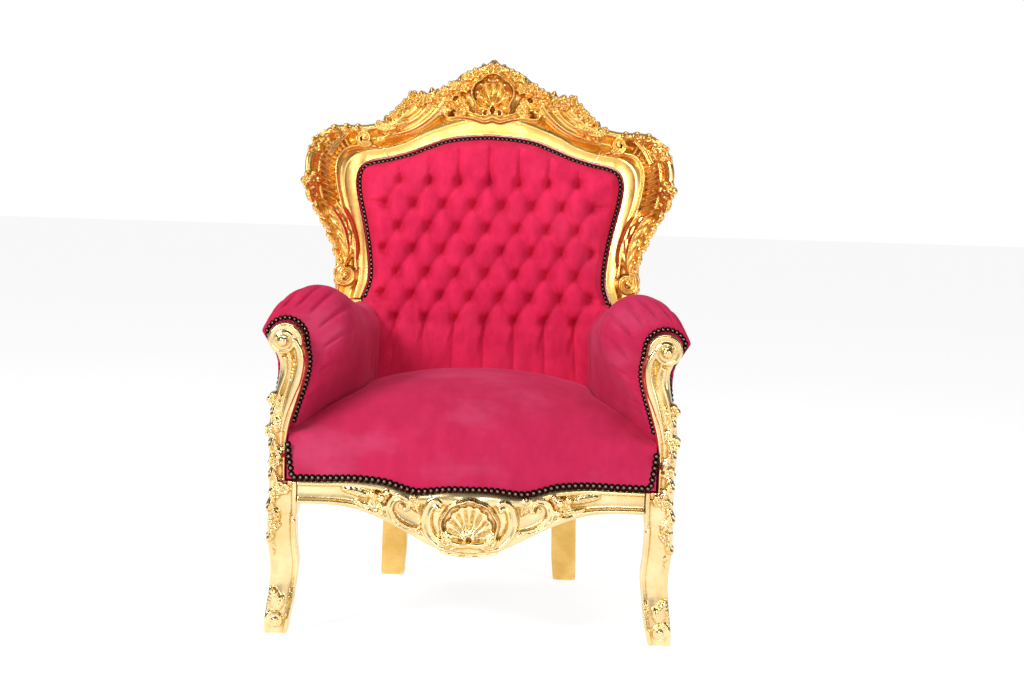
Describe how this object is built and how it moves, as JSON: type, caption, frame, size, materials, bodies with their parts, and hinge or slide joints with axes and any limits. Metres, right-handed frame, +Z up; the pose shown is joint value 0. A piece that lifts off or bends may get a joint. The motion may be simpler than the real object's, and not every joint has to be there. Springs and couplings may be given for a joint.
{
  "type": "throne",
  "caption": "Baroque throne armchair with a carved gilded frame, flared wings and shell crest, a button-tufted velvet back, padded arms and a crowned seat.",
  "frame": {"origin": "on the floor, under the middle of the chair's footprint", "axes": "+Z up, -Y the way the chair faces, +X to the right of someone who looks at its front"},
  "size_m": [0.8702, 0.8074, 1.2],
  "materials": {
    "gilt_wood": "burnished gold leaf on carved wood, red-brown in the recesses",
    "back_velvet": "rose-red velvet",
    "seat_velvet": "rose-pink velvet with a soft nap",
    "dome_nails": "dark antiqued bronze",
    "lining": "plain black lining cloth"
  },
  "bodies": {
    "root": {"crest_rail": "gilt_wood", "back_stile_left": "gilt_wood", "back_stile_right": "gilt_wood", "front_leg_left": "gilt_wood", "front_leg_right": "gilt_wood", "front_rail": "gilt_wood", "side_rail_left": "gilt_wood", "side_rail_right": "gilt_wood", "rear_rail": "gilt_wood", "seat_base": "lining", "seat_cushion": "seat_velvet", "arm_pad_left": "seat_velvet", "arm_pad_right": "seat_velvet", "back_cushion": "back_velvet", "back_panel": "seat_velvet", "seat_nails": "dome_nails", "back_nails": "dome_nails", "arm_nails_left": "dome_nails", "arm_nails_right": "dome_nails"}
  },
  "joints": []
}
